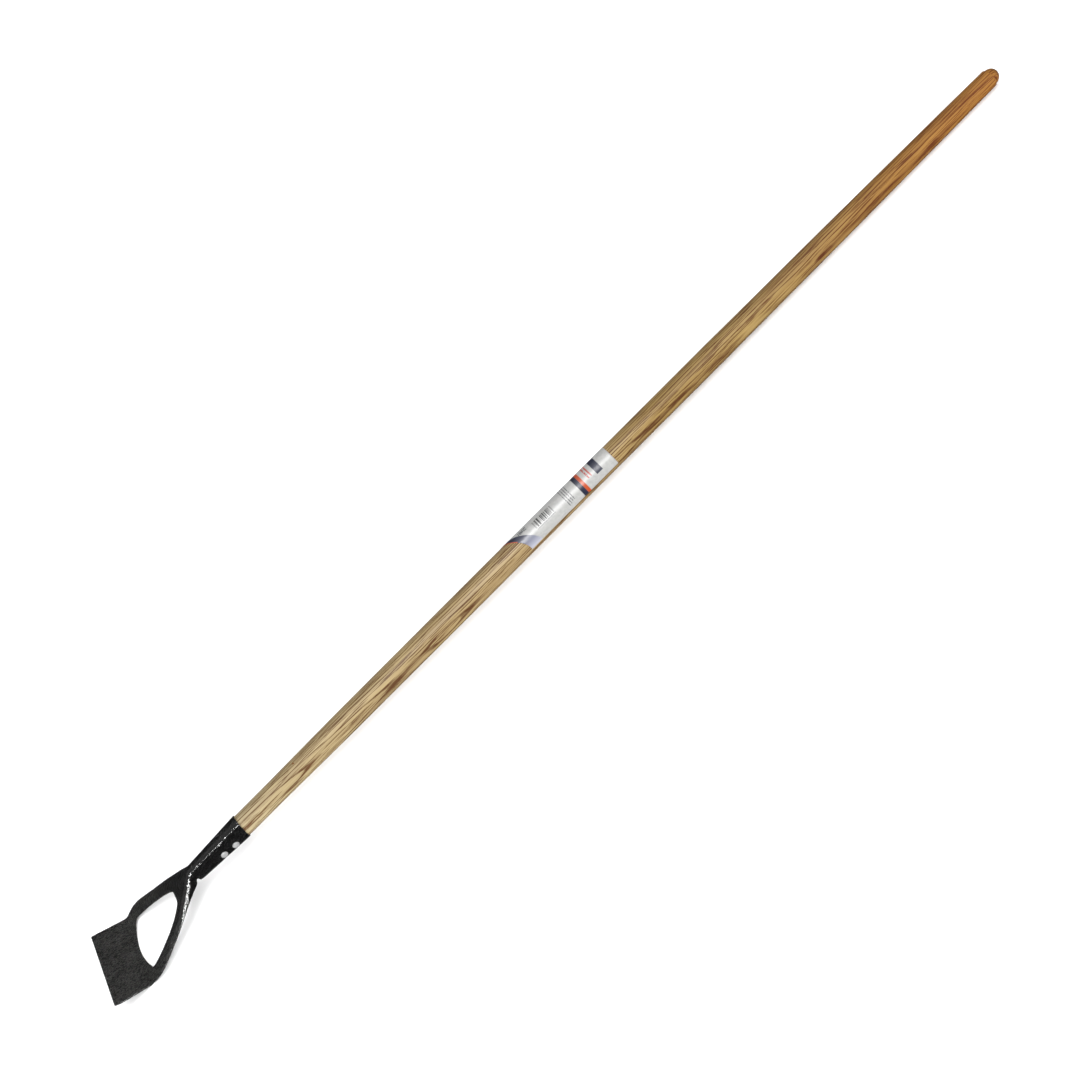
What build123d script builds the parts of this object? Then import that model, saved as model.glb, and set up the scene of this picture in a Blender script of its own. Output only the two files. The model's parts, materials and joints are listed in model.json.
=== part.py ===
from build123d import *
import os
from math import cos, degrees, radians, sin

# Grub hoe: a long turned ash handle riveted into the rolled socket of a forged, open-centre head.
# The pieces are built in mm with X along the handle, from the socket mouth (x = 0) to the grip end,
# Z up and the socket's seam underneath. At the end they are turned a little about Y, so that the
# tool lies on its heel and its grip end, and moved to the middle of its own footprint.

# Handle: turned ash, 54 in long with the part inside the socket, 1 1/4 in at its thickest.
handle_visible_length = 1303.0
handle_hidden_length = 68.6
handle_mouth_radius = 14.7
handle_belly = [(95, 15.05), (160, 15.7), (215, 15.875), (330, 15.88), (460, 15.85), (560, 15.62)]
handle_plain_start = 650.0         # a true cylinder, just above the label
handle_plain_end = 815.0
handle_plain_radius = 15.45
handle_taper = [(900, 14.9), (990, 14.55), (1110, 13.65), (1208, 12.85)]
grip_end_radius = 12.0
hidden_end_chamfer = 1.5

# Socket: rolled from the plate of the head, its two flaps meeting in a seam along the underside.
mouth_radius = 16.3
neck_radius = 12.3
socket_length = 81.0
socket_wall = 1.5
seam_width = 1.2
flap_corner = 6.5                  # the flaps' corners are cut off at the neck
mouth_slant = 2.6                  # the mouth is cut a little out of square, longest on its upper side
mouth_slant_turn = 25.0

# Side profile of the head's top surface, from the neck to the cutting edge.
neck_bend = (-88.0, 11.9)
arm_bend = (-138.0, -7.0)
crease = (-202.0, -22.9)
cutting_edge = (-247.2, -5.6)
neck_bend_radius = 20.0
arm_bend_radius = 200.0
crease_radius = 9.0

# Cross-sections from the neck to the cutting edge: a web that is dished like a spoon near the neck,
# between flanges that are curled down along the arms and almost flat from the crease on. The blade
# widens a little to its edge.
# (distance from the neck, half width of the web, curl radius, curl angle in degrees, thickness, dish)
plate = 2.5
plate_sections = [
    (0, 0.5, 12.35, 93, 1.7, 0),
    (3, 1.2, 12.2, 98, 1.8, 0),
    (8, 3.8, 12.0, 105, 2.0, 0.4),
    (23, 14.6, 13.0, 77, 2.4, 2.8),
    (52, 35.0, 15.0, 46, plate, 4.8),
    (83, 52.8, 18.0, 28, plate, 3.8),
    (101, 63.3, 22.0, 15, plate, 2.0),
    (114, 66.9, 25.0, 6, plate, 0.4),
    (124, 65.2, 26.0, 3, plate, 0),
    (175, 67.2, 26.0, 3, plate, 0),
]
arm_section_spacing = 7.0
crease_section_spacing = 1.4
neck_overlap = 2.5                 # the half tube starts inside the end of the socket
least_dish = 0.05                  # the web is flat where its dish would be less

# Blade: nearly a rectangle, ground from below along its cutting edge.
blade_corner_radius = 2.0
bevel_length = 9.0
edge_thickness = 0.7
ground_depth = 0.3                 # the blade's underside is ground flat, this much below the arms' plate
ground_start = 2.0                 # from this far past the crease
ground_ramp = 3.0

# Window between the arms, as (distance down the arms from the neck, distance from the middle).
window_top = 43.0
window_top_half_width = 12.0
window_side = [(54, 22.4), (78, 36.3), (100, 45.2)]
window_corner = (113.0, 48.8)
window_bottom = 124.4
window_top_corner_radius = 4.0
window_bottom_corner_radius = 5.0

# Rivets: distance below the mouth, and turn of the rivet about the handle in degrees.
rivets = {"rivet_upper": (19.2, 12.0), "rivet_lower": (37.4, 8.0)}
rivet_shank_radius = 2.5
rivet_head_radius = 4.6
rivet_head_height = 2.0
rivet_rim_height = 0.4
hole_clearance = 0.05

# Label: a paper sticker round the upper side of the handle, cut slanting at its lower end.
label_start_far = 457.7
label_start_near = 490.6
label_end = 637.5
label_edge_drop = 3.4              # its long edges lie this far below the handle's middle
label_thickness = 0.2

across = (0, 1, 0)
tool_width = 200.0                 # wider than anything that it cuts
overshoot = 1.0                    # how far a cutter or a joined piece reaches past an edge
handle_half_width = 16.2           # just clear of the handle's sides
nearby = 1.0                       # how near to a corner its point is looked for
crease_part = 5                    # the crease's place among the lines and arcs of the side profile
tilt_steps = 8


def belly_line():
    """Outline of the handle from the mouth to its cylindrical stretch."""
    return Spline([(0, handle_mouth_radius), *handle_belly, (handle_plain_start, handle_plain_radius)])


def make_handle():
    """Turned handle, from its end inside the socket to the domed grip end."""
    dome_start = handle_visible_length - grip_end_radius
    dome_side = grip_end_radius * cos(radians(45))
    socket_slope = (mouth_radius - neck_radius) / socket_length
    hidden_radius = handle_mouth_radius - socket_slope * handle_hidden_length
    plain = Line((handle_plain_start, handle_plain_radius), (handle_plain_end, handle_plain_radius))
    taper = Spline([(handle_plain_end, handle_plain_radius), *handle_taper, (dome_start, grip_end_radius)])
    dome = ThreePointArc(
        (dome_start, grip_end_radius), (dome_start + dome_side, dome_side), (handle_visible_length, 0)
    )
    inside = Polyline(
        (handle_visible_length, 0),
        (-handle_hidden_length, 0),
        (-handle_hidden_length, hidden_radius - hidden_end_chamfer),
        (-handle_hidden_length + hidden_end_chamfer, hidden_radius),
        (0, handle_mouth_radius),
    )
    return revolve(make_face([belly_line(), plain, taper, dome, inside]), Axis.X)


def make_socket():
    """Conical ring of the socket, with its slanting mouth, its seam and its cut flap corners."""
    slope = (mouth_radius - neck_radius) / socket_length
    long_end = mouth_slant + overshoot
    ring_outline = Polyline(
        (long_end, mouth_radius + slope * long_end - socket_wall),
        (long_end, mouth_radius + slope * long_end),
        (-socket_length, neck_radius),
        (-socket_length, neck_radius - socket_wall),
        close=True,
    )
    ring = revolve(make_face(ring_outline), Axis.X)
    slant = Vector(1, 0, -mouth_slant / mouth_radius).rotate(Axis.X, mouth_slant_turn)
    block = Pos(0, 0, tool_width / 2) * Box(tool_width, tool_width, tool_width)
    beyond_mouth = Plane(origin=(0, 0, 0), z_dir=slant) * block
    seam_length = socket_length + 2 * long_end
    seam = Pos(-socket_length / 2, 0, -mouth_radius) * Box(seam_length, seam_width, mouth_radius)
    corner_outline = Polyline(
        (-socket_length - overshoot, -mouth_radius),
        (-socket_length + flap_corner, -mouth_radius),
        (-socket_length + flap_corner, -neck_radius),
        (-socket_length - overshoot, -neck_radius + flap_corner),
        close=True,
    )
    corners = extrude(Plane.XZ * make_face(corner_outline), amount=tool_width / 2, both=True)
    return ring - beyond_mouth - seam - corners


def top_line():
    """Side profile of the head's top surface, as lines and arcs from the neck to the edge."""
    slope = (mouth_radius - neck_radius) / socket_length
    start = (-socket_length + neck_overlap, neck_radius + slope * neck_overlap)
    points = [start, neck_bend, arm_bend, crease, cutting_edge]
    bends = [neck_bend_radius, arm_bend_radius, crease_radius]
    return FilletPolyline([(x, 0, z) for x, z in points], radius=bends)


def section_plane(line, distance):
    """Plane across the head, with its x along Y and its y away from the top surface."""
    where = line.position_at(distance, position_mode=PositionMode.LENGTH)
    direction = line.tangent_at(distance, position_mode=PositionMode.LENGTH)
    return Plane(origin=where, x_dir=across, z_dir=-direction)


def curl(side, web, radius, curl_angle, height):
    """Arc of one flange, from the web to its free edge, on the side +1 or -1."""
    points = []
    for share in (0, 0.5, 1):
        angle = radians(curl_angle) * share
        points.append((side * (web + radius * sin(angle)), height - radius * (1 - cos(angle))))
    return points


def plate_shape(distance):
    """Web half width, curl radius, curl angle, thickness and dish at a distance from the neck."""
    rows = plate_sections
    index = 0
    while index < len(rows) - 2 and distance > rows[index + 1][0]:
        index += 1
    before = rows[max(index - 1, 0)]
    start = rows[index]
    end = rows[index + 1]
    after = rows[min(index + 2, len(rows) - 1)]
    span = end[0] - start[0]
    t = (distance - start[0]) / span
    shape = []
    for column in range(1, len(start)):
        slope_in = (end[column] - before[column]) / (end[0] - before[0]) * span
        slope_out = (after[column] - start[column]) / (after[0] - start[0]) * span
        cubic = (2 * t**3 - 3 * t**2 + 1) * start[column] + (3 * t**2 - 2 * t**3) * end[column]
        cubic += (t**3 - 2 * t**2 + t) * slope_in + (t**3 - t**2) * slope_out
        shape.append(cubic)
    return shape


def web_line(start, end, dish):
    """One face of the web: straight, or an arc that sags by the dish."""
    if dish < least_dish:
        return Line(start, end)
    return ThreePointArc(start, (0, start[1] - dish), end)


def plate_section(line, distance):
    """Cross-section of the head: web with a flange curled down on each side."""
    web, outer_radius, curl_angle, thickness, dish = plate_shape(max(distance - neck_overlap, 0))
    inner_radius = outer_radius - thickness
    right_outer = curl(1, web, outer_radius, curl_angle, 0)
    right_inner = curl(1, web, inner_radius, curl_angle, -thickness)
    left_outer = curl(-1, web, outer_radius, curl_angle, 0)
    left_inner = curl(-1, web, inner_radius, curl_angle, -thickness)
    loop = [
        web_line(left_outer[0], right_outer[0], dish),
        ThreePointArc(*right_outer),
        Line(right_outer[2], right_inner[2]),
        ThreePointArc(*reversed(right_inner)),
        web_line(right_inner[0], left_inner[0], dish),
        ThreePointArc(*left_inner),
        Line(left_inner[2], left_outer[2]),
        ThreePointArc(*reversed(left_outer)),
    ]
    return section_plane(line, distance) * Wire(loop)


def plate_stretch(line, start, end, spacing):
    """Solid through evenly spaced cross-sections between two distances."""
    count = max(1, round((end - start) / spacing))
    sections = []
    for index in range(count + 1):
        sections.append(plate_section(line, start + (end - start) * index / count))
    return Solid.make_loft(sections, ruled=count == 1)


def blade_corner(side, half_width):
    """What is cut from one corner of the blade, as (distance from the edge, across)."""
    radius = blade_corner_radius
    beyond_side = side * (half_width + overshoot)
    inner = side * (half_width - radius)
    sagitta = radius * (1 - sin(radians(45)))
    rounding = ThreePointArc(
        (0, inner), (sagitta, side * (half_width - sagitta)), (radius, side * half_width)
    )
    outside = Polyline(
        (radius, side * half_width),
        (radius, beyond_side),
        (-overshoot, beyond_side),
        (-overshoot, inner),
        (0, inner),
    )
    return make_face([rounding, outside])


def make_blade(line, start):
    """Flat blade from the end of the crease, with rounded corners, ground flat and sharp from below."""
    length = line.length - start
    blade = plate_stretch(line, start, line.length, length)
    edge = section_plane(line, line.length)
    web, curl_radius, curl_angle, _, _ = plate_shape(line.length - neck_overlap)
    half_width = web + curl_radius * sin(radians(curl_angle))
    face_plane = Plane(origin=edge.origin, x_dir=edge.z_dir, z_dir=edge.y_dir)
    for side in (1, -1):
        corner = face_plane * blade_corner(side, half_width)
        blade -= extrude(corner, amount=2 * plate, both=True)
    ground = Polyline(
        (0, -edge_thickness),
        (-overshoot, -edge_thickness),
        (-overshoot, -2 * plate),
        (length - ground_start, -2 * plate),
        (length - ground_start, -plate),
        (length - ground_start - ground_ramp, ground_depth - plate),
        (bevel_length, ground_depth - plate),
        close=True,
    )
    side_plane = Plane(origin=edge.origin, x_dir=edge.z_dir, z_dir=edge.z_dir.cross(edge.y_dir))
    return blade - extrude(side_plane * make_face(ground), amount=tool_width / 2, both=True)


def window_half(side):
    """One side of the window's outline, from the middle of its top to its bottom corner."""
    corner = (window_top, side * window_top_half_width)
    points = [(distance, side * half) for distance, half in (*window_side, window_corner)]
    return [Line((window_top, 0), corner), Spline([corner, *points])]


def make_window(line):
    """Cutter for the opening between the arms, square to the arms."""
    corner_distance, corner_half = window_corner
    bottom = ThreePointArc(
        (corner_distance, corner_half), (window_bottom, 0), (corner_distance, -corner_half)
    )
    face = make_face([*window_half(1), *window_half(-1), bottom])
    tops = face.vertices().filter_by_position(Axis.X, window_top - nearby, window_top + nearby)
    tops = [vertex for vertex in tops if abs(vertex.Y) > nearby]
    face = fillet(tops, window_top_corner_radius)
    bottoms = face.vertices().filter_by_position(
        Axis.X, corner_distance - nearby, corner_distance + nearby
    )
    face = fillet(bottoms, window_bottom_corner_radius)
    start = line.position_at(neck_overlap, position_mode=PositionMode.LENGTH)
    end = line.position_at(neck_overlap + window_bottom, position_mode=PositionMode.LENGTH)
    along = (end - start).normalized()
    square_to_arms = Vector(along).cross(Vector(across))
    plane = Plane(origin=start, x_dir=along, z_dir=square_to_arms)
    return extrude(plane * face, amount=tool_width / 2, both=True)


def make_head():
    line = top_line()
    stretches = line.edges()
    crease_start = sum(edge.length for edge in stretches[:crease_part])
    crease_end = crease_start + stretches[crease_part].length
    arms = plate_stretch(line, 0, crease_start, arm_section_spacing)
    bend = plate_stretch(line, crease_start, crease_end, crease_section_spacing)
    head = make_socket() + arms + bend + make_blade(line, crease_end)
    return head - make_window(line)


def rivet_place(below_mouth, turn):
    """Where a rivet's middle is, with its length along the local Z."""
    return Pos(-below_mouth, 0, 0) * Rot(90 + turn, 0, 0)


def rivet_holes():
    """Cutter for the rivets' holes through the socket and the handle."""
    holes = []
    for place in rivets.values():
        holes.append(rivet_place(*place) * Cylinder(rivet_shank_radius + hole_clearance, tool_width))
    return holes


def make_rivet(below_mouth, turn):
    """Rivet through the socket and the handle, with a low domed head on each side."""
    cone_outline = Polyline(
        (0, 0), (0, mouth_radius), (-socket_length, neck_radius), (-socket_length, 0), close=True
    )
    cone = revolve(make_face(cone_outline), Axis.X)
    surface = mouth_radius - (mouth_radius - neck_radius) * below_mouth / socket_length
    rise = rivet_head_height - rivet_rim_height
    dome_radius = (rivet_head_radius**2 + rise**2) / (2 * rise)
    place = rivet_place(below_mouth, turn)
    rivet = place * Cylinder(rivet_shank_radius, 2 * surface)
    for side in (1, -1):
        dome = Pos(0, 0, side * (surface + rivet_head_height - dome_radius)) * Sphere(dome_radius)
        blank = Pos(0, 0, side * surface) * Cylinder(rivet_head_radius, 2 * rivet_head_height)
        rivet += place * (dome & blank) - cone
    return rivet


def make_label(handle):
    """Thin sticker that follows the handle's surface, open along the underside."""
    skin_line = Pos(0, label_thickness) * belly_line()
    outline = make_face(
        [
            skin_line,
            Line(skin_line @ 1, (handle_plain_start, 0)),
            Line((handle_plain_start, 0), (0, 0)),
            Line((0, 0), skin_line @ 0),
        ]
    )
    skin = revolve(outline, Axis.X)
    half = tool_width / 2
    kept = Polyline(
        (label_end, handle_half_width),
        (label_start_far, handle_half_width),
        (label_start_near, -handle_half_width),
        (label_end, -handle_half_width),
        close=True,
    )
    upper_side = Pos(0, 0, half - label_edge_drop)
    block = upper_side * extrude(make_face(kept), amount=half, both=True)
    return (skin & block) - handle


def tilt_to_rest(head, handle):
    """Degrees about Y that bring the heel and the grip end down to one floor."""
    span = handle_visible_length - crease[0]
    tilt = 0
    for _ in range(tilt_steps):
        turn = Rot(0, tilt, 0)
        gap = (turn * handle).bounding_box().min.Z - (turn * head).bounding_box().min.Z
        tilt += degrees(gap / span)
    return tilt


def make_pieces():
    """All the pieces in the working frame, by node name."""
    handle = make_handle() - rivet_holes()
    head = make_head() - rivet_holes()
    pieces = {"handle": handle, "hoe_head": head}
    for name, place in rivets.items():
        pieces[name] = make_rivet(*place)
    pieces["label"] = make_label(handle)
    return pieces


def resting_place(pieces):
    """Location that lays the tool on the floor, over the middle of its own footprint."""
    turn = Rot(0, tilt_to_rest(pieces["hoe_head"], pieces["handle"]), 0)
    box = Compound(children=[turn * piece for piece in pieces.values()]).bounding_box()
    middle = box.center()
    return Pos(-middle.X, -middle.Y, -box.min.Z) * turn


os.makedirs("parts", exist_ok=True)
pieces = make_pieces()
place = resting_place(pieces)
for name, piece in pieces.items():
    export_step(place * piece, f"parts/{name}.step")
print("resting place of the working frame:", place)
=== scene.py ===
import json
import math

import bmesh
import bpy
import numpy as np
from mathutils import Matrix, Vector, noise


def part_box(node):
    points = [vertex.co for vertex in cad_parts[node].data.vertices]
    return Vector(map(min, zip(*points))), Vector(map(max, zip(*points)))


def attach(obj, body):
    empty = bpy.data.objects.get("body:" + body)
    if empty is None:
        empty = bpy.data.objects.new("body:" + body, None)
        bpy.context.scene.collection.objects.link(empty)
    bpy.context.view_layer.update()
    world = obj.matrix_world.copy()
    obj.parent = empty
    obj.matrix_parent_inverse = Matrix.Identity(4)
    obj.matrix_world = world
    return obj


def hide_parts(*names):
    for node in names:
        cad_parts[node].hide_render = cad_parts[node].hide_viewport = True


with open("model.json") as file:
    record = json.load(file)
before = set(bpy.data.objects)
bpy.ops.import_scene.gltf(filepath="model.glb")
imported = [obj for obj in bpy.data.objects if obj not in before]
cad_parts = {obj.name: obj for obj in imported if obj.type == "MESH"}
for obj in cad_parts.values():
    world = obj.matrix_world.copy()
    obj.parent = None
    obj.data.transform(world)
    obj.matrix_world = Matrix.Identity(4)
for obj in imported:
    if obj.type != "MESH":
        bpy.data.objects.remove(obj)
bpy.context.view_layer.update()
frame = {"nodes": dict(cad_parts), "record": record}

# Grub hoe, in metres. PLACE carries the working frame into the row frame: there X runs along the handle
# from the socket's mouth to the grip end, and Z is up, as in the CAD source.
MM = 0.001
CLIP_FROM_MOUTH = 732.5 * MM       # middle of the handle's cylindrical stretch
clip = next(mount for mount in frame["record"]["mounts"] if mount["name"] == "handle_clip")
handle_axis = Vector(clip["axis"])
mouth = Vector(clip["pos_m"]) - CLIP_FROM_MOUTH * handle_axis
tilt = math.atan2(-handle_axis.z, handle_axis.x)
PLACE = Matrix.Translation(mouth) @ Matrix.Rotation(tilt, 4, "Y")

# Handle.
HANDLE_LENGTH = 1303 * MM
HIDDEN_LENGTH = 68.6 * MM
HIDDEN_RADIUS = 11.31 * MM         # at the end inside the socket
HANDLE_TURNS = 96                  # faces round the handle
HANDLE_STEP = 5 * MM
DOME_RINGS = 14
HIDDEN_BEVEL = 1.5 * MM
CAD_PROFILE_FLOOR = 11.6 * MM      # every outer ring of the CAD handle is larger than this
TURNING_DEPTH = 0.12 * MM          # how far the hand-sanded surface wanders inwards

# Ash grain. The rings run nearly flat through the handle, and meet its near side square on.
RING_SPACING = 3.3 * MM
PITH_DISTANCE = 90 * MM
FLAT_SIDE_RADIUS = 15.9 * MM       # the rings are counted inwards from here
FLAT_SIDE_TURN = [(40 * MM, 15), (350 * MM, 2)]    # degrees above level, at two places along it
# How many rings the grain has climbed, at places along the handle: each whole number makes an arch.
RING_DRIFT = [
    (-70, 1.70), (0, 1.24), (39, 1.00), (80, 0.48), (118, 0.00), (190, -0.62), (256, -1.00), (292, -1.14),
    (322, -0.98), (345, -0.88), (368, -0.99), (420, -1.26), (540, -1.62), (660, -1.80), (745, -1.99),
    (800, -1.90), (860, -2.04), (905, -1.93), (960, -2.02), (990, -1.72), (1100, -1.50), (1200, -1.34),
    (1240, -1.30), (1303, -1.45),
]
DRIFT_LOW, DRIFT_HIGH = -2.2, 1.8
KNOT_PLACE = (99.8 * MM, 14.9 * MM, 76)    # along the handle, out from its axis, degrees above level

# Head.
HEAD_VOXEL = 0.5 * MM
HEAD_SMOOTHING = 3
HEAD_TRIANGLES = 190000
HAMMER_CELL = 3.1 * MM
HAMMER_DEPTH = 0.17 * MM
WAVE_DEPTH = 0.03 * MM             # a slow unevenness under the hammertone
PAINTED_SHADE_SPAN = (-205 * MM, -85 * MM) # paint lighter on the blade as painted light, darker from the neck on as painted shade

# Rivets: distance below the mouth, and degrees that each is turned about the handle.
RIVETS = {"rivet_upper": (19.2 * MM, 12), "rivet_lower": (37.4 * MM, 8)}
RIVET_HEAD_RADIUS = 4.6 * MM
RIVET_HEAD_HEIGHT = 2.0 * MM
RIVET_SHANK_RADIUS = 2.5 * MM
RIVET_RIM = (0.8 * MM, 0.9 * MM)   # how far the rim and the start of the shank lie under the surface
RIVET_DENT = 0.06 * MM
RIVET_CROWN_DROP = 0.04 * MM
RIVET_RINGS = 8
RIVET_TURNS = 48

# Label.
LABEL_START_FAR = 457.7 * MM
LABEL_START_NEAR = 490.6 * MM
LABEL_END = 637.5 * MM
LABEL_EDGE_DROP = 3.4 * MM
LABEL_THICKNESS = 0.2 * MM
LABEL_GAP = 0.03 * MM
LABEL_HALF_WIDTH = 16.2 * MM
LABEL_RIPPLE = 0.05 * MM
LABEL_ROWS, LABEL_COLUMNS = 110, 120

# Camera: it looks down across the tool, turned so that the handle runs up to the right.
CAMERA_ELEVATION = math.radians(36.5)
CAMERA_ROLL = math.radians(45)
CAMERA_DISTANCE = 2.076
CAMERA_TARGET = Vector((503.9, -6.4, -8.6)) * MM
CAMERA_LENS = 56.67
SENSOR = 36.0

# Lights, in the row frame. A softbox gives the soft light and isn't mirrored: its name, azimuth,
# elevation and radiance.
FLOOR_HALF = 30.0
MIDDLE, HEAD_MIDDLE = (0, 0, 0), (-0.65, 0, 0)
SOFTBOXES = [
    ("left_softbox", -42, 13, 13.0), ("right_softbox", 42, 13, 13.5), ("back_softbox", 180, 12, 10.0),
]
SOFTBOX_SIZE, SOFTBOX_DISTANCE = (2.5, 1.6), 4.0
# The rest are only mirrored: a strip in a line along the socket, and small lights as specks in the
# flange of the near arm.
STRIP_PLACE, STRIP_AIM = (-1.13, -0.89, 1.84), (-1.13, 0, 0)
STRIP_SIZE, STRIP_RADIANCE = (0.40, 0.05), 120.0
HEAD_LIGHT_AZIMUTHS = (19, 28)
HEAD_LIGHT_ELEVATIONS = (40, 48, 56, 64)
HEAD_LIGHT_SIZE, HEAD_LIGHT_DISTANCE, HEAD_LIGHT_RADIANCE = (0.15, 0.15), 2.4, 140.0


# ---------------------------------------------------------------- materials


class Shader:
    """One material and short ways to add nodes to it."""

    def __init__(self, name):
        self.material = bpy.data.materials.new(name)
        self.material.use_nodes = True
        self.tree = self.material.node_tree
        self.tree.nodes.clear()
        self.surface = self.add("ShaderNodeBsdfPrincipled")
        self.add("ShaderNodeOutputMaterial", {}, {"Surface": self.surface.outputs["BSDF"]})
        self.place = self.working_place()

    def add(self, kind, settings=None, inputs=None):
        node = self.tree.nodes.new(kind)
        for name, value in (settings or {}).items():
            setattr(node, name, value)
        for name, value in (inputs or {}).items():
            self.feed(node.inputs[name], value)
        return node

    def working_place(self):
        """A point's place in the working frame, from its place in the row frame."""
        row_place = self.add("ShaderNodeTexCoord").outputs["Object"]
        inputs = {"Vector": row_place, "Location": mouth, "Rotation": (0, tilt, 0)}
        return self.add("ShaderNodeMapping", {"vector_type": "TEXTURE"}, inputs).outputs["Vector"]

    def feed(self, socket, value):
        if isinstance(value, bpy.types.NodeSocket):
            self.tree.links.new(value, socket)
        else:
            socket.default_value = value

    def set(self, **values):
        """Sets sockets of the surface shader: Base_Color=... feeds "Base Color"."""
        for name, value in values.items():
            self.feed(self.surface.inputs[name.replace("_", " ")], value)

    def math(self, operation, *values, clamp=False):
        node = self.add("ShaderNodeMath", {"operation": operation, "use_clamp": clamp})
        for socket, value in zip(node.inputs, values):
            self.feed(socket, value)
        return node.outputs[0]

    def split(self, vector):
        return self.add("ShaderNodeSeparateXYZ", {}, {0: vector}).outputs

    def join(self, x, y, z):
        return self.add("ShaderNodeCombineXYZ", {}, {0: x, 1: y, 2: z}).outputs[0]

    def scaled(self, vector, factors):
        inputs = {0: vector, 1: factors}
        return self.add("ShaderNodeVectorMath", {"operation": "MULTIPLY"}, inputs).outputs[0]

    def added(self, first, second):
        return self.add("ShaderNodeVectorMath", {"operation": "ADD"}, {0: first, 1: second}).outputs[0]

    def noise(self, vector, scale, detail=2.0, roughness=0.5):
        inputs = {"Vector": vector, "Scale": scale, "Detail": detail, "Roughness": roughness}
        return self.add("ShaderNodeTexNoise", {}, inputs).outputs["Fac"]

    def noise_vector(self, vector, scale, detail=2.0):
        inputs = {"Vector": vector, "Scale": scale, "Detail": detail}
        return self.add("ShaderNodeTexNoise", {}, inputs).outputs["Color"]

    def cells(self, vector, scale):
        """Distance from the middle of the nearest rounded cell."""
        inputs = {"Vector": vector, "Scale": scale}
        return self.add("ShaderNodeTexVoronoi", {"feature": "SMOOTH_F1"}, inputs).outputs["Distance"]

    def rise(self, value, low, high, start=0.0, end=1.0):
        """A smooth step from start to end, as value goes from low to high."""
        inputs = {"Value": value, "From Min": low, "From Max": high, "To Min": start, "To Max": end}
        return self.add("ShaderNodeMapRange", {"interpolation_type": "SMOOTHSTEP"}, inputs).outputs[0]

    def line(self, value, low, high, start=0.0, end=1.0):
        """A straight clamped change from start to end, as value goes from low to high."""
        inputs = {"Value": value, "From Min": low, "From Max": high, "To Min": start, "To Max": end}
        return self.add("ShaderNodeMapRange", {}, inputs).outputs[0]

    def between(self, value, low, high, soft):
        """1 where value is between low and high, with soft edges."""
        above = self.rise(value, low - soft, low + soft)
        below = self.rise(value, high - soft, high + soft, 1, 0)
        return self.math("MULTIPLY", above, below)

    def mix(self, factor, first, second):
        node = self.add("ShaderNodeMix", {"data_type": "RGBA"})
        for index, value in ((0, factor), (6, first), (7, second)):
            self.feed(node.inputs[index], value)
        return node.outputs[2]

    def ramp(self, factor, stops):
        node = self.add("ShaderNodeValToRGB", {}, {"Fac": factor})
        elements = node.color_ramp.elements
        while len(elements) < len(stops):
            elements.new(0.5)
        for element, (place, colour) in zip(elements, stops):
            element.position = place
            element.color = colour
        return node.outputs["Color"]

    def curve(self, value, points):
        """A smooth curve through points, both ways from 0 to 1."""
        node = self.add("ShaderNodeFloatCurve", {}, {"Value": value})
        line = node.mapping.curves[0]
        while len(line.points) < len(points):
            line.points.new(0.5, 0.5)
        for point, (x, y) in zip(line.points, points):
            point.location = (x, y)
        node.mapping.update()
        return node.outputs[0]

    def bump(self, height, strength, distance, normal=None):
        inputs = {"Height": height, "Strength": strength, "Distance": distance}
        if normal is not None:
            inputs["Normal"] = normal
        return self.add("ShaderNodeBump", {}, inputs).outputs["Normal"]


def srgb(red, green, blue):
    """A linear colour from the 0 to 255 values that a screen shows."""
    linear = []
    for value in (red, green, blue):
        share = value / 255
        linear.append(share / 12.92 if share <= 0.04045 else ((share + 0.055) / 1.055) ** 2.4)
    return (*linear, 1.0)


def grain_rings(m, x, y, z):
    """The growth rings' running number at a point: dark early wood ends at each whole number."""
    span = HANDLE_LENGTH + HIDDEN_LENGTH
    along = m.line(x, -HIDDEN_LENGTH, HANDLE_LENGTH)
    points = []
    for place, rings in RING_DRIFT:
        height = (rings - DRIFT_LOW) / (DRIFT_HIGH - DRIFT_LOW)
        points.append(((place * MM + HIDDEN_LENGTH) / span, height))
    drift = m.line(m.curve(along, points), 0, 1, DRIFT_LOW, DRIFT_HIGH)
    (start, start_turn), (end, end_turn) = FLAT_SIDE_TURN
    turn = m.line(x, start, end, math.radians(start_turn), math.radians(end_turn))
    sine = m.math("SINE", turn)
    cosine = m.math("COSINE", turn)
    outward = m.math("SUBTRACT", m.math("MULTIPLY", z, sine), m.math("MULTIPLY", y, cosine))
    sideways = m.math("ADD", m.math("MULTIPLY", z, cosine), m.math("MULTIPLY", y, sine))
    to_pith = m.math("SUBTRACT", PITH_DISTANCE, outward)
    squares = m.math("ADD", m.math("MULTIPLY", to_pith, to_pith), m.math("MULTIPLY", sideways, sideways))
    depth = m.math("SUBTRACT", PITH_DISTANCE - FLAT_SIDE_RADIUS, m.math("SQRT", squares))
    wander = m.noise(m.scaled(m.place, (14, 90, 90)), 1.0, 2.0)
    wander = m.math("MULTIPLY", m.math("SUBTRACT", wander, 0.5), 0.5)
    rings = m.math("ADD", m.math("DIVIDE", depth, RING_SPACING), drift)
    return m.math("ADD", rings, wander)


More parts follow.
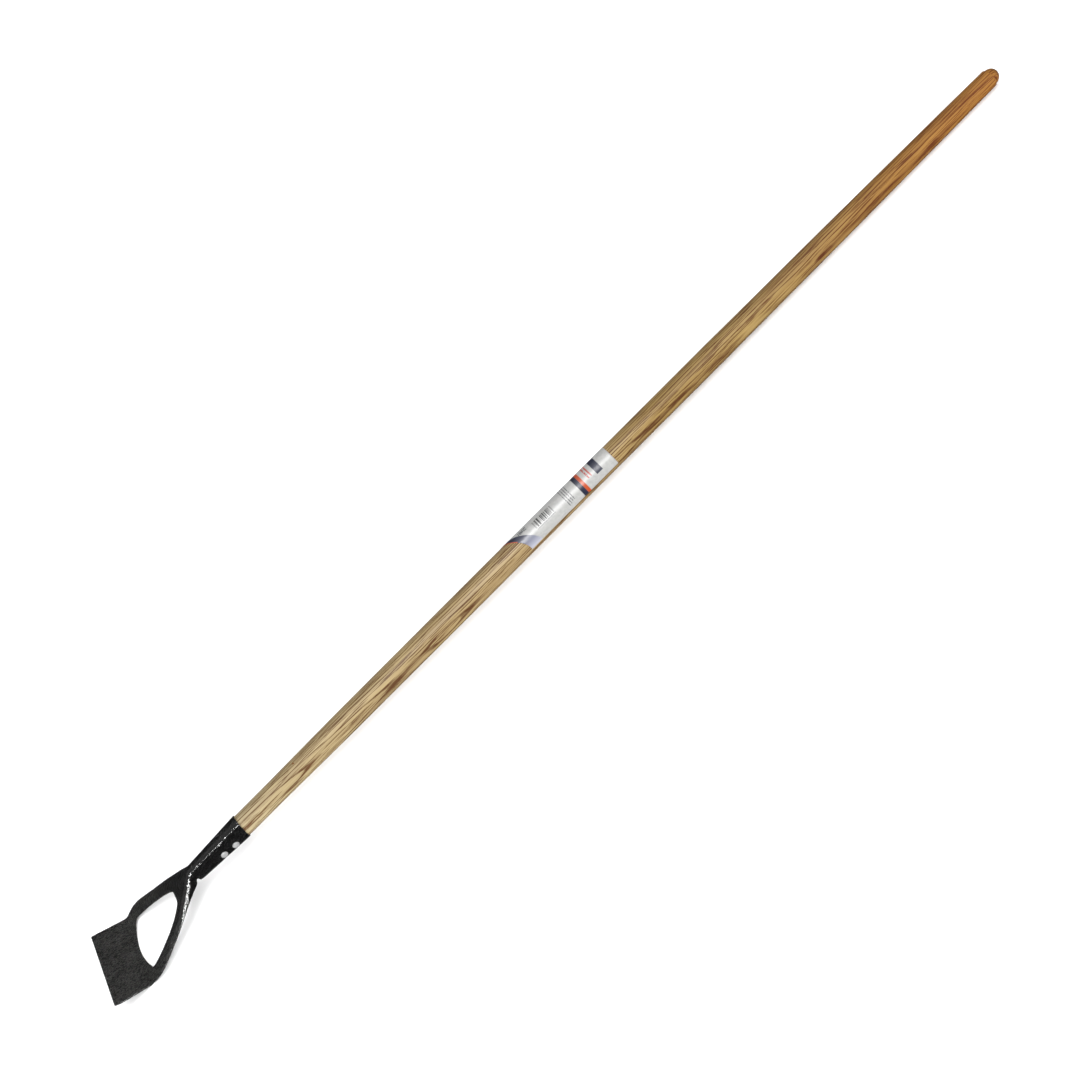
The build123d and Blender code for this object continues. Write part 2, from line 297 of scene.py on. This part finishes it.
def ash_material():
    """Ring-porous ash under a thin satin oil, paler at the head and redder towards the grip."""
    m = Shader("ash_wood")
    x, y, z = m.split(m.place)
    rings = grain_rings(m, x, y, z)
    phase = m.math("FRACT", rings)
    ring_number = m.math("FLOOR", rings)
    chance = m.add("ShaderNodeTexWhiteNoise", {"noise_dimensions": "1D"}, {"W": ring_number})
    strength = m.line(chance.outputs["Value"], 0, 1, 0.75, 1.0)
    early = m.math("MULTIPLY", m.rise(phase, 0.70, 0.90), m.rise(phase, 0.96, 1.0, 1, 0))
    pores = m.noise(m.scaled(m.place, (110, 1500, 1500)), 1.0, 3.0, 0.6)
    pores = m.rise(pores, 0.40, 0.62)
    dashes = m.noise(m.scaled(m.place, (35, 420, 420)), 1.0, 2.0)
    dashes = m.rise(dashes, 0.30, 0.62, 0.45, 1.0)
    dark = m.math("MULTIPLY", m.math("MULTIPLY", early, strength), dashes)
    dark = m.math("MULTIPLY", dark, m.line(pores, 0, 1, 1.2, 1.7), clamp=True)
    threads = m.noise(m.scaled(m.place, (19, 820, 820)), 1.0, 2.0, 0.5)
    threads = m.rise(threads, 0.54, 0.60, 0.0, 0.85)
    fibres = m.noise(m.scaled(m.place, (28, 1100, 1100)), 1.0, 3.0, 0.62)
    streaks = m.noise(m.scaled(m.place, (5, 150, 150)), 1.0, 2.0)
    along = m.line(x, -HIDDEN_LENGTH, HANDLE_LENGTH)
    pale = m.ramp(along, [
        (0.0, srgb(150, 141, 114)), (0.10, srgb(142, 128, 95)), (0.30, srgb(135, 117, 81)),
        (0.45, srgb(136, 118, 84)), (0.57, srgb(123, 101, 58)), (0.70, srgb(128, 107, 65)),
        (0.86, srgb(118, 85, 39)), (1.0, srgb(127, 87, 37)),
    ])
    deep = m.ramp(along, [
        (0.0, srgb(76, 50, 28)), (0.30, srgb(66, 40, 19)), (0.57, srgb(64, 36, 12)),
        (0.86, srgb(66, 29, 8)), (1.0, srgb(72, 29, 8)),
    ])
    body = m.mix(m.rise(streaks, 0.36, 0.70, 0.0, 0.30), pale, deep)
    body = m.mix(m.rise(fibres, 0.42, 0.72, 0.0, 0.22), body, deep)
    body = m.mix(threads, body, deep)
    colour = m.mix(dark, body, deep)
    knot_x, knot_radius, knot_angle = KNOT_PLACE
    knot_y = -knot_radius * math.cos(math.radians(knot_angle))
    knot_z = knot_radius * math.sin(math.radians(knot_angle))
    offset = m.added(m.place, (-knot_x, -knot_y, -knot_z))
    distance = m.add("ShaderNodeVectorMath", {"operation": "LENGTH"}, {0: offset}).outputs["Value"]
    knot = m.rise(distance, 0.8 * MM, 1.9 * MM, 1.0, 0.0)
    colour = m.mix(knot, colour, srgb(92, 56, 24))
    # The last 9 mm of the grip end is darkened, on its upper side and in blotches.
    tip_blotches = m.noise(m.scaled(m.place, (300, 300, 300)), 1.0, 3.0)
    tip = m.rise(x, HANDLE_LENGTH - 9 * MM, HANDLE_LENGTH - 0.5 * MM)
    darkened_tip = m.math("MULTIPLY", tip, m.rise(z, -8 * MM, 4 * MM))
    darkened_tip = m.math("MULTIPLY", darkened_tip, m.line(tip_blotches, 0.3, 0.6, 0.5, 1.0))
    colour = m.mix(darkened_tip, colour, srgb(66, 38, 18))
    roughness = m.math("ADD", m.line(dark, 0, 1, 0.46, 0.62), m.line(fibres, 0.3, 0.7, -0.04, 0.06))
    height = m.math("ADD", m.math("MULTIPLY", dark, -1.0), m.math("MULTIPLY", fibres, 0.35))
    m.set(Base_Color=colour, Roughness=roughness, Normal=m.bump(height, 0.5, 0.12 * MM))
    m.set(Specular_IOR_Level=0.14, Coat_Weight=0.06, Coat_Roughness=0.3)
    return m.material


def hammertone_material():
    """Black hammertone enamel: rounded islands of paint with painted shade in the creases between them,
    lighter towards the blade as painted light and darker towards the socket as painted shade."""
    m = Shader("black_hammertone_paint")
    centred = m.added(m.noise_vector(m.place, 260.0), (-0.5, -0.5, -0.5))
    place = m.added(m.place, m.scaled(centred, (1.2 * MM, 1.2 * MM, 1.2 * MM)))
    islands = m.cells(place, 1 / HAMMER_CELL * 1.25)
    flecks = m.noise(m.place, 2600.0, 2.0, 0.6)
    clouds = m.noise(m.place, 45.0, 3.0)
    # The tone darkens towards each island's rim: painted shade in the creases. Clouds and flecks vary it
    # at random.
    tone = m.math("ADD", m.math("MULTIPLY", islands, -0.9), m.math("MULTIPLY", clouds, 0.35))
    tone = m.math("ADD", tone, m.math("MULTIPLY", flecks, 0.45))
    # Darker tone from the neck to the socket's mouth: painted shade.
    shaded_socket_tone = m.ramp(m.rise(tone, -0.45, 0.30), [
        (0.0, srgb(1, 1, 1)), (0.5, srgb(4, 4, 4)), (1.0, srgb(12, 12, 12)),
    ])
    # The ramp named thin holds the blade's lighter tone, which is painted light.
    thin = m.ramp(m.rise(tone, -0.35, 0.20), [
        (0.0, srgb(5, 5, 5)), (0.5, srgb(22, 22, 21)), (1.0, srgb(58, 58, 56)),
    ])
    # Fades from the blade's painted light to the socket's painted shade along the head.
    blade_side = m.rise(m.split(m.place)[0], *PAINTED_SHADE_SPAN, 1.0, 0.0)
    colour = m.mix(blade_side, shaded_socket_tone, thin)
    roughness = m.line(m.math("ADD", islands, m.math("MULTIPLY", flecks, 0.3)), 0.15, 0.9, 0.26, 0.42)
    height = m.math("ADD", m.math("MULTIPLY", islands, -1.0), m.math("MULTIPLY", flecks, 0.12))
    ripples = m.bump(m.noise(m.place, 500.0, 1.0, 0.6), 1.0, 8.5 * MM)
    m.set(Base_Color=colour, Roughness=roughness, Normal=m.bump(height, 0.9, 0.5 * MM, ripples))
    m.set(Specular_IOR_Level=0.3, Coat_Weight=0.6, Coat_Roughness=0.12, Coat_IOR=1.5)
    return m.material


def rivet_material():
    """Bright zinc-plated steel with fine scratches."""
    m = Shader("rivet_steel")
    clouds = m.noise(m.place, 900.0, 3.0)
    scratches = m.noise(m.scaled(m.place, (900, 7000, 2500)), 1.0, 2.0, 0.7)
    colour = m.ramp(m.line(clouds, 0.3, 0.7), [(0.0, srgb(124, 125, 126)), (1.0, srgb(156, 156, 155))])
    roughness = m.line(m.math("ADD", clouds, scratches), 0.7, 1.3, 0.30, 0.50)
    m.set(Base_Color=colour, Roughness=roughness, Metallic=0.25)
    m.set(Normal=m.bump(scratches, 0.35, 0.05 * MM))
    return m.material


def floor_material():
    """Matt, almost white studio floor."""
    m = Shader("pale_floor")
    clouds = m.noise(m.place, 3.0, 2.0)
    colour = m.ramp(clouds, [(0.0, srgb(246, 246, 246)), (1.0, srgb(250, 250, 250))])
    m.set(Base_Color=colour, Roughness=0.9, Specular_IOR_Level=0.1)
    return m.material


class Print:
    """The label's print, as ink laid over ink. u runs along the handle in mm from the label's far corner,
    and v round it in degrees above level, from the near edge over the top."""

    def __init__(self, m, paper):
        self.m = m
        x, y, z = m.split(m.place)
        self.u = m.math("MULTIPLY", m.math("SUBTRACT", x, LABEL_START_FAR), 1 / MM)
        self.v = m.math("MULTIPLY", m.math("ARCTAN2", z, m.math("MULTIPLY", y, -1.0)), 180 / math.pi)
        across = m.math("DIVIDE", m.math("ADD", y, LABEL_HALF_WIDTH), 2 * LABEL_HALF_WIDTH)
        slant = (LABEL_START_NEAR - LABEL_START_FAR) / MM
        slant = m.math("MULTIPLY", m.math("SUBTRACT", 1.0, across), slant)
        self.from_slant = m.math("SUBTRACT", self.u, slant)
        self.colour = paper

    def lay(self, ink, mask):
        self.colour = self.m.mix(mask, self.colour, ink)

    def bar(self, ink, low, high, first, last, by=None):
        """A plain bar from low to high along u (or by), and from first to last round v."""
        m = self.m
        lengthwise = m.between(by or self.u, low, high, 0.25)
        self.lay(ink, m.math("MULTIPLY", lengthwise, m.between(self.v, first, last, 1.0)))


def label_material():
    """Off-white sticker with generic print: stripes, plain bars, greeked lines and a bar code."""
    m = Shader("label_film")
    mottle = m.noise(m.place, 260.0, 3.0)
    paper = m.ramp(mottle, [(0.3, srgb(128, 128, 127)), (0.7, srgb(139, 139, 137))])
    navy = srgb(26, 29, 46)
    grey = srgb(70, 71, 74)
    orange = srgb(142, 52, 10)
    ink = Print(m, paper)
    # Lower end: a band along the slanted edge that widens and fades towards the near side.
    fade = m.ramp(m.line(ink.v, -5, 95), [
        (0.0, srgb(136, 137, 146)), (0.30, srgb(96, 98, 112)), (0.60, srgb(40, 43, 60)), (1.0, navy),
    ])
    band_end = m.line(ink.v, 0, 120, 17.0, 9.0)
    ink.lay(fade, m.rise(m.math("SUBTRACT", ink.from_slant, band_end), -0.6, 0.6, 1, 0))
    ink.bar(orange, -2, 1.1, 60, 200, by=ink.from_slant)
    # Small greeked marks beside the band.
    marks = m.noise(m.join(m.math("MULTIPLY", ink.u, 0.9), m.math("MULTIPLY", ink.v, 0.1), 0.0), 1.0)
    marks = m.math("MULTIPLY", m.rise(marks, 0.45, 0.5), m.between(ink.v, 76, 100, 2.0))
    ink.lay(grey, m.math("MULTIPLY", marks, m.between(ink.u, 31, 44, 0.4)))
    # Bar code: plain bars of uneven width, with a row of small marks under it.
    bars = m.noise(m.join(m.math("MULTIPLY", ink.u, 0.62), 4.7, 0.0), 1.0, 2.0, 0.9)
    bars = m.math("MULTIPLY", m.rise(bars, 0.475, 0.525), m.between(ink.u, 52, 86, 0.3))
    ink.lay(srgb(22, 22, 24), m.math("MULTIPLY", bars, m.between(ink.v, 43, 82, 1.0)))
    digits = m.noise(m.join(m.math("MULTIPLY", ink.u, 1.1), 9.0, 0.0), 1.0)
    digits = m.math("MULTIPLY", m.rise(digits, 0.47, 0.52), m.between(ink.u, 54, 84, 0.3))
    ink.lay(grey, m.math("MULTIPLY", digits, m.between(ink.v, 35, 39, 0.8)))
    # Four greeked lines of small print.
    words = m.join(m.math("MULTIPLY", ink.u, 0.35), m.math("MULTIPLY", ink.v, 0.16), 2.0)
    words = m.rise(m.noise(words, 1.0, 1.0), 0.38, 0.45)
    for index in range(4):
        start = 101.5 + 3.1 * index
        line = m.between(ink.u, start, start + 1.3, 0.3)
        line = m.math("MULTIPLY", line, m.between(ink.v, 9 + 3 * index, 165, 1.5))
        ink.lay(grey, m.math("MULTIPLY", line, words))
    # A straight two-colour stripe right round the label.
    ink.bar(navy, 123.2, 129.4, -20, 200)
    ink.bar(orange, 129.4, 133.8, -20, 200)
    # Two short greeked lines in red, then one plain navy bar.
    for start in (140.4, 144.4):
        line = m.between(ink.u, start, start + 2.0, 0.3)
        line = m.math("MULTIPLY", line, m.between(ink.v, 38, 142, 1.5))
        ink.lay(srgb(132, 38, 26), m.math("MULTIPLY", line, words))
    ink.bar(navy, 151.9, 161.4, 24, 156)
    fibre = m.noise(m.place, 2200.0, 3.0, 0.6)
    scuff = m.rise(m.noise(m.scaled(m.place, (90, 400, 400)), 1.0, 4.0, 0.7), 0.62, 0.78, 0.0, 0.22)
    colour = m.mix(scuff, ink.colour, srgb(164, 163, 160))
    roughness = m.line(m.math("ADD", fibre, mottle), 0.7, 1.3, 0.36, 0.52)
    m.set(Base_Color=colour, Roughness=roughness, Normal=m.bump(fibre, 0.25, 0.05 * MM))
    m.set(Coat_Weight=0.15, Coat_Roughness=0.3)
    return m.material


# ---------------------------------------------------------------- pieces


def new_piece(name, vertices, faces, place):
    """A mesh whose vertices are given in the frame that place carries into the row frame."""
    mesh = bpy.data.meshes.new(name)
    mesh.from_pydata([tuple(place @ Vector(v)) for v in vertices], [], faces)
    mesh.validate()
    for polygon in mesh.polygons:
        polygon.use_smooth = True
    piece = bpy.data.objects.new(name, mesh)
    bpy.context.scene.collection.objects.link(piece)
    return piece


def face_outward(piece):
    """Turns every face of a closed mesh outward."""
    mesh = bmesh.new()
    mesh.from_mesh(piece.data)
    bmesh.ops.recalc_face_normals(mesh, faces=mesh.faces)
    mesh.to_mesh(piece.data)
    mesh.free()


def dress(piece, material, slot_name, *nodes):
    """Gives a piece its material, and puts it in the frame in place of the CAD nodes."""
    piece.data.materials.clear()
    piece.data.materials.append(material)
    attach(piece, "root")
    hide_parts(*nodes)
    return piece


def handle_profile():
    """Radius of the CAD handle at places along it, outside the socket, as a pair of arrays."""
    to_working = PLACE.inverted()
    points = np.array([to_working @ v.co for v in frame["nodes"]["handle"].data.vertices])
    radii = np.hypot(points[:, 1], points[:, 2])
    outer = (points[:, 0] > -0.01 * MM) & (radii > CAD_PROFILE_FLOOR)
    order = np.argsort(points[outer, 0])
    along = points[outer, 0][order]
    radii = radii[outer][order]
    distinct = np.concatenate([[True], np.diff(along) > 1 * MM])
    return along[distinct], radii[distinct]


PROFILE = handle_profile()


def handle_radius(x):
    return float(np.interp(x, *PROFILE))


def make_handle():
    """Turned ash handle: rings of vertices that wander a little, and a rounded grip end."""
    mouth_radius = handle_radius(0)
    dome_start = PROFILE[0][-1]
    stations = [(-HIDDEN_LENGTH, HIDDEN_RADIUS - HIDDEN_BEVEL)]
    stations.append((-HIDDEN_LENGTH + HIDDEN_BEVEL, HIDDEN_RADIUS))
    for x in np.arange(-HIDDEN_LENGTH + HANDLE_STEP, -0.1 * MM, HANDLE_STEP):
        share = (x + HIDDEN_LENGTH) / HIDDEN_LENGTH
        stations.append((x, HIDDEN_RADIUS + (mouth_radius - HIDDEN_RADIUS) * share))
    for x in np.arange(0, dome_start, HANDLE_STEP):
        stations.append((x, handle_radius(x)))
    end_radius = HANDLE_LENGTH - dome_start
    for index in range(DOME_RINGS):
        angle = math.pi / 2 * index / DOME_RINGS
        stations.append((dome_start + end_radius * math.sin(angle), end_radius * math.cos(angle)))
    vertices = []
    for x, radius in stations:
        for turn in range(HANDLE_TURNS):
            angle = 2 * math.pi * turn / HANDLE_TURNS
            swell = noise.noise(Vector((x * 9, math.cos(angle) * 1.3, math.sin(angle) * 1.3 + 5)))
            flat = noise.noise(Vector((x * 60, math.cos(angle) * 2.5, math.sin(angle) * 2.5 + 11)))
            drop = TURNING_DEPTH * (0.5 + 0.35 * swell + 0.15 * flat) * min(radius / (11 * MM), 1)
            shrunk = radius - (drop if x > 0 else 0)
            vertices.append((x, shrunk * math.cos(angle), shrunk * math.sin(angle)))
    rings = len(stations)
    faces = []
    for ring in range(rings - 1):
        for turn in range(HANDLE_TURNS):
            following = (turn + 1) % HANDLE_TURNS
            a, b = ring * HANDLE_TURNS, (ring + 1) * HANDLE_TURNS
            faces.append((a + turn, a + following, b + following, b + turn))
    start_pole = len(vertices)
    vertices.append((-HIDDEN_LENGTH, 0, 0))
    end_pole = len(vertices)
    vertices.append((HANDLE_LENGTH - TURNING_DEPTH / 2, 0, 0))
    last = (rings - 1) * HANDLE_TURNS
    for turn in range(HANDLE_TURNS):
        following = (turn + 1) % HANDLE_TURNS
        faces.append((start_pole, following, turn))
        faces.append((end_pole, last + turn, last + following))
    piece = new_piece("ash_handle", vertices, faces, PLACE)
    face_outward(piece)
    return dress(piece, ash_material(), "ash_wood", "handle")


def hammered(co, normal):
    """A point of the head's skin, sunk between the islands of the hammertone paint."""
    distances = noise.voronoi(co / HAMMER_CELL)[0]
    sunk = min(distances[0] / 0.75, 1) ** 2
    swell = noise.noise(co * 70)
    return co - normal * (HAMMER_DEPTH * sunk + WAVE_DEPTH * (1 + swell))


def make_head():
    """Forged head: the CAD shape with its edges rounded over and the relief of thick hammertone paint."""
    mesh = frame["nodes"]["hoe_head"].data.copy()
    mesh.name = "forged_head"
    welded = bmesh.new()
    welded.from_mesh(mesh)
    bmesh.ops.remove_doubles(welded, verts=welded.verts, dist=0.001 * MM)
    welded.to_mesh(mesh)
    welded.free()
    piece = bpy.data.objects.new("forged_head", mesh)
    bpy.context.scene.collection.objects.link(piece)
    skin = piece.modifiers.new("skin", "REMESH")
    skin.mode = "VOXEL"
    skin.voxel_size = HEAD_VOXEL
    skin.use_smooth_shade = True
    soften = piece.modifiers.new("soften", "SMOOTH")
    soften.factor = 0.5
    soften.iterations = HEAD_SMOOTHING
    shaped = bpy.data.meshes.new_from_object(piece.evaluated_get(bpy.context.evaluated_depsgraph_get()))
    piece.modifiers.clear()
    piece.data = shaped
    normals = [v.normal.copy() for v in shaped.vertices]
    for vertex, normal in zip(shaped.vertices, normals):
        vertex.co = hammered(vertex.co.copy(), normal)
    thin_out = piece.modifiers.new("thin_out", "DECIMATE")
    thin_out.ratio = min(1.0, HEAD_TRIANGLES / (2 * len(shaped.polygons)))
    shaped = bpy.data.meshes.new_from_object(piece.evaluated_get(bpy.context.evaluated_depsgraph_get()))
    piece.modifiers.clear()
    piece.data = shaped
    for polygon in shaped.polygons:
        polygon.use_smooth = True
    return dress(piece, hammertone_material(), "black_hammertone_paint", "hoe_head")


def make_rivet(node, below_mouth, turn):
    """Rivet with a low head on each side, a little uneven from the hammer, and its shank between."""
    box_low, box_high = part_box(node)
    half_length = (box_high.y - box_low.y) / 2 / math.cos(math.radians(turn))
    surface = half_length - RIVET_HEAD_HEIGHT
    half = []
    for index in range(1, RIVET_RINGS + 1):
        angle = math.pi / 2 * index / RIVET_RINGS
        radius = RIVET_HEAD_RADIUS * math.sin(angle) ** 0.9
        half.append((radius, surface + RIVET_HEAD_HEIGHT * math.cos(angle)))
    half.append((RIVET_HEAD_RADIUS * 0.985, surface - RIVET_RIM[0]))
    half.append((RIVET_SHANK_RADIUS, surface - RIVET_RIM[1]))
    whole = half + [(radius, -height) for radius, height in reversed(half)]
    vertices = []
    for radius, height in whole:
        for step in range(RIVET_TURNS):
            angle = 2 * math.pi * step / RIVET_TURNS
            cosine, sine = math.cos(angle), math.sin(angle)
            dent = noise.noise(Vector((radius * 420 * cosine, radius * 420 * sine, height * 300)))
            scale = 1 + 0.03 * dent if abs(height) > surface else 1
            vertices.append((radius * scale * cosine, radius * scale * sine, height - RIVET_DENT * dent))
    faces = []
    for ring in range(len(whole) - 1):
        for step in range(RIVET_TURNS):
            following = (step + 1) % RIVET_TURNS
            a, b = ring * RIVET_TURNS, (ring + 1) * RIVET_TURNS
            faces.append((a + step, a + following, b + following, b + step))
    crown = half_length - RIVET_CROWN_DROP
    for first, height in ((0, crown), ((len(whole) - 1) * RIVET_TURNS, -crown)):
        pole = len(vertices)
        vertices.append((0, 0, height))
        for step in range(RIVET_TURNS):
            faces.append((pole, first + step, first + (step + 1) % RIVET_TURNS))
    turned = Matrix.Rotation(math.radians(90 + turn), 4, "X")
    place = PLACE @ Matrix.Translation((-below_mouth, 0, 0)) @ turned
    piece = new_piece(node + "_peened", vertices, faces, place)
    face_outward(piece)
    return piece


def make_rivets():
    material = rivet_material()
    for node, (below_mouth, turn) in RIVETS.items():
        dress(make_rivet(node, below_mouth, turn), material, "rivet_steel", node)


def make_label():
    """Sticker wrapped over the top of the handle: a thin closed sheet with a faint ripple."""
    rows, columns = LABEL_ROWS, LABEL_COLUMNS
    end_radius = handle_radius(LABEL_END)
    drop = math.asin(LABEL_EDGE_DROP / end_radius)
    sheet = []
    for column in range(columns + 1):
        for row in range(rows + 1):
            angle = -drop + (math.pi + 2 * drop) * row / rows
            share = (-math.cos(angle) * end_radius + LABEL_HALF_WIDTH) / (2 * LABEL_HALF_WIDTH)
            start = LABEL_START_NEAR + (LABEL_START_FAR - LABEL_START_NEAR) * share
            sheet.append((start + (LABEL_END - start) * column / columns, angle))
    vertices = []
    for lift, ripple_depth in ((LABEL_GAP, 0), (LABEL_THICKNESS, LABEL_RIPPLE)):
        for x, angle in sheet:
            ripple = noise.noise(Vector((x * 55, angle * 2.2, 3)))
            radius = handle_radius(x) + lift - ripple_depth * (0.5 + 0.5 * ripple)
            vertices.append((x, -radius * math.cos(angle), radius * math.sin(angle)))
    layer = len(sheet)
    width = rows + 1
    faces = []
    for column in range(columns):
        for row in range(rows):
            a = column * width + row
            faces.append((a, a + 1, a + width + 1, a + width))
            faces.append((layer + a, layer + a + width, layer + a + width + 1, layer + a + 1))
    border = list(range(width))
    border += [column * width + rows for column in range(1, columns + 1)]
    border += [columns * width + row for row in range(rows - 1, -1, -1)]
    border += [column * width for column in range(columns - 1, 0, -1)]
    for index, a in enumerate(border):
        b = border[(index + 1) % len(border)]
        faces.append((a, b, layer + b, layer + a))
    piece = new_piece("paper_label", vertices, faces, PLACE)
    face_outward(piece)
    return dress(piece, label_material(), "label_film", "label")


# ---------------------------------------------------------------- setting


def make_camera():
    sine, cosine = math.sin(CAMERA_ELEVATION), math.cos(CAMERA_ELEVATION)
    back = Vector((0, -cosine, sine))
    level_up = Vector((0, sine, cosine))
    along = Vector((1, 0, 0))
    right = math.cos(CAMERA_ROLL) * along - math.sin(CAMERA_ROLL) * level_up
    up = math.sin(CAMERA_ROLL) * along + math.cos(CAMERA_ROLL) * level_up
    turn = Matrix((right, up, back)).transposed().to_4x4()
    camera = bpy.data.objects.new("camera", bpy.data.cameras.new("camera"))
    camera.data.lens = CAMERA_LENS
    camera.data.sensor_width = SENSOR
    camera.matrix_world = PLACE @ Matrix.Translation(CAMERA_TARGET + back * CAMERA_DISTANCE) @ turn
    bpy.context.scene.collection.objects.link(camera)
    bpy.context.scene.camera = camera


def make_floor():
    corners = [(x * FLOOR_HALF, y * FLOOR_HALF, 0) for x, y in ((-1, -1), (1, -1), (1, 1), (-1, 1))]
    floor = new_piece("floor", corners, [(0, 1, 2, 3)], Matrix.Identity(4))
    floor.data.materials.append(floor_material())
    floor.visible_glossy = False


def make_light(name, place, aim, size, radiance, mirrored=True, lit=True):
    """A rectangle of light of that size that faces aim, as bright per area whatever its size. Reflections
    show it only if mirrored, and it lights matt surfaces only if lit."""
    light = bpy.data.lights.new(name, "AREA")
    light.shape = "RECTANGLE"
    light.size, light.size_y = size
    light.energy = radiance * math.pi * size[0] * size[1]
    lamp = bpy.data.objects.new(name, light)
    lamp.location = place
    lamp.rotation_euler = (Vector(aim) - Vector(place)).to_track_quat("-Z", "Y").to_euler()
    lamp.visible_glossy = mirrored
    lamp.visible_diffuse = lit
    bpy.context.scene.collection.objects.link(lamp)


def make_sun(name, towards, irradiance, spread):
    """Even light from a round patch of the ceiling, spread degrees wide."""
    light = bpy.data.lights.new(name, "SUN")
    light.energy = irradiance
    light.angle = math.radians(spread)
    lamp = bpy.data.objects.new(name, light)
    lamp.rotation_euler = Vector(towards).to_track_quat("Z", "Y").to_euler()
    bpy.context.scene.collection.objects.link(lamp)


def make_world(seen, lit, mirrored):
    """Pale surroundings: what a view shows past the floor, how much light they give, and how bright
    they look in a reflection."""
    world = bpy.data.worlds.new("studio")
    world.use_nodes = True
    nodes, links = world.node_tree.nodes, world.node_tree.links
    ray = nodes.new("ShaderNodeLightPath")
    for_camera, for_mirror = nodes.new("ShaderNodeMath"), nodes.new("ShaderNodeMath")
    for node in (for_camera, for_mirror):
        node.operation = "MULTIPLY_ADD"
    for_camera.inputs[1].default_value = seen - lit
    for_camera.inputs[2].default_value = lit
    for_mirror.inputs[1].default_value = mirrored - lit
    links.new(ray.outputs["Is Camera Ray"], for_camera.inputs[0])
    links.new(ray.outputs["Is Glossy Ray"], for_mirror.inputs[0])
    links.new(for_camera.outputs[0], for_mirror.inputs[2])
    background = nodes["Background"]
    background.inputs["Color"].default_value = (1, 1, 1, 1)
    links.new(for_mirror.outputs[0], background.inputs["Strength"])
    bpy.context.scene.world = world


def place_around(centre, azimuth, elevation, distance):
    """A place in the row frame: azimuth 0 is the camera's side, and positive turns towards the grip."""
    turn, climb = math.radians(azimuth), math.radians(elevation)
    level = math.cos(climb) * distance
    offset = Vector((level * math.sin(turn), -level * math.cos(turn), math.sin(climb) * distance))
    return Vector(centre) + offset


def make_setting():
    bpy.context.scene.view_settings.view_transform = "Standard"
    make_camera()
    make_floor()
    make_world(seen=1.0, lit=1.0, mirrored=0.03)
    make_sun("ceiling", (0, 0, 1), irradiance=0.9, spread=70)
    for name, azimuth, elevation, radiance in SOFTBOXES:
        place = place_around(MIDDLE, azimuth, elevation, SOFTBOX_DISTANCE)
        make_light(name, place, MIDDLE, SOFTBOX_SIZE, radiance, mirrored=False)
    make_light("socket_strip", STRIP_PLACE, STRIP_AIM, STRIP_SIZE, STRIP_RADIANCE, lit=False)
    for azimuth in HEAD_LIGHT_AZIMUTHS:
        for elevation in HEAD_LIGHT_ELEVATIONS:
            place = place_around(HEAD_MIDDLE, azimuth, elevation, HEAD_LIGHT_DISTANCE)
            name = f"head_light_{azimuth}_{elevation}"
            make_light(name, place, HEAD_MIDDLE, HEAD_LIGHT_SIZE, HEAD_LIGHT_RADIANCE, lit=False)


make_setting()
make_handle()
make_head()
make_rivets()
make_label()
